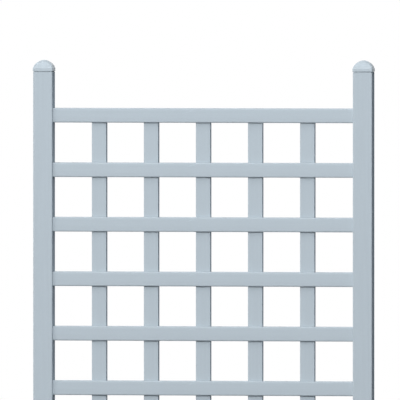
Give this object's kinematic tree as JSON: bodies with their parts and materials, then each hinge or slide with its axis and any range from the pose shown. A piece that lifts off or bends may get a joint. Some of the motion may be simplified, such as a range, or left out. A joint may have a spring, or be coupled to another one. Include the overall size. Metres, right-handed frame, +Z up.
{
  "type": "vinyl trellis",
  "caption": "Garden trellis of hollow vinyl extrusions: square posts with domed caps, rails let into the posts, and slats threaded through the rails, on steel ground stakes.",
  "frame": {"origin": "on the ground line, midway between the posts, on the panel's centre plane", "axes": "+Z up along the posts, +X to the right along the rails seen from the front, front face towards -Y"},
  "size_m": [0.8914, 0.0532, 2.2093],
  "materials": {
    "post_vinyl": "satin extruded vinyl, pale blue-grey",
    "rail_vinyl": "satin extruded vinyl, pale blue-grey",
    "slat_vinyl": "satin extruded vinyl, pale blue-grey",
    "cap_vinyl": "satin moulded vinyl, pale blue-grey",
    "stake_steel": "galvanised",
    "screw_steel": "coated to match the vinyl"
  },
  "bodies": {
    "root": {"left_post": "post_vinyl", "left_post_cap": "cap_vinyl", "left_stake": "stake_steel", "left_rail_screw_top": "screw_steel", "left_rail_screw_middle": "screw_steel", "left_rail_screw_bottom": "screw_steel", "left_stake_screw": "screw_steel", "right_post": "post_vinyl", "right_post_cap": "cap_vinyl", "right_stake": "stake_steel", "right_rail_screw_top": "screw_steel", "right_rail_screw_middle": "screw_steel", "right_rail_screw_bottom": "screw_steel", "right_stake_screw": "screw_steel", "rail_01": "rail_vinyl", "rail_02": "rail_vinyl", "rail_03": "rail_vinyl", "rail_04": "rail_vinyl", "rail_05": "rail_vinyl", "rail_06": "rail_vinyl", "rail_07": "rail_vinyl", "rail_08": "rail_vinyl", "rail_09": "rail_vinyl", "rail_10": "rail_vinyl", "rail_11": "rail_vinyl", "rail_12": "rail_vinyl", "slat_1": "slat_vinyl", "slat_2": "slat_vinyl", "slat_3": "slat_vinyl", "slat_4": "slat_vinyl", "slat_5": "slat_vinyl"}
  },
  "joints": []
}
